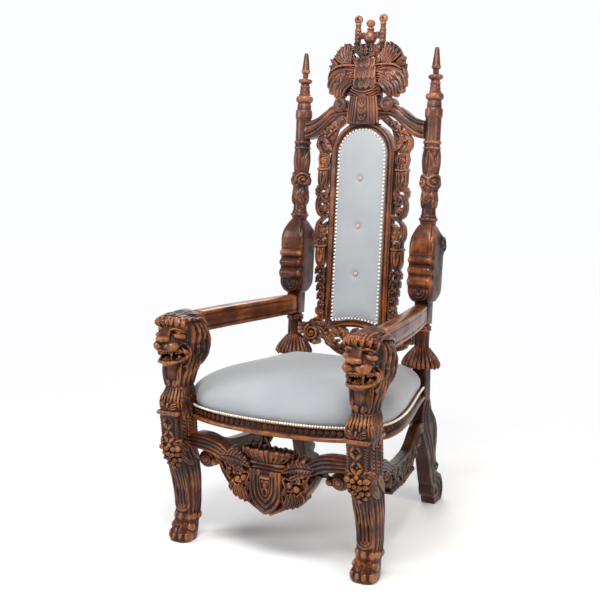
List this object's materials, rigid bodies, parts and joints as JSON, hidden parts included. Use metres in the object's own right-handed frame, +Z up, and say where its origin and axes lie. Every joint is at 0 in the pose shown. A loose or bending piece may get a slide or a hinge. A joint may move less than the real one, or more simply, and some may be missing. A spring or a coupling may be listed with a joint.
{
  "type": "throne",
  "caption": "Carved hardwood throne with lion-headed front legs, spired posts, an arched upholstered back between pierced scrollwork, and an eagle crest.",
  "frame": {"origin": "on the floor, at the centre of the footprint's bounding box", "axes": "+Z up, the sitter faces -Y, and +X is the right-hand side as seen by someone facing the throne"},
  "size_m": [0.8196, 0.9258, 1.8181],
  "materials": {
    "wood": "polished",
    "fabric": "matte",
    "button": "satin"
  },
  "bodies": {
    "root": {"lion_leg_left": "wood", "lion_leg_right": "wood", "rear_post_left": "wood", "rear_post_right": "wood", "arm_left": "wood", "arm_right": "wood", "seat_rail": "wood", "front_stretcher": "wood", "side_stretcher_left": "wood", "side_stretcher_right": "wood", "back_frame": "wood", "fretwork_left": "wood", "fretwork_right": "wood", "crest_rail": "wood", "lower_back_rail": "wood", "eagle_crest": "wood", "seat_cushion": "fabric", "back_pad": "fabric", "button_1": "button", "button_2": "button", "button_3": "button"}
  },
  "joints": []
}
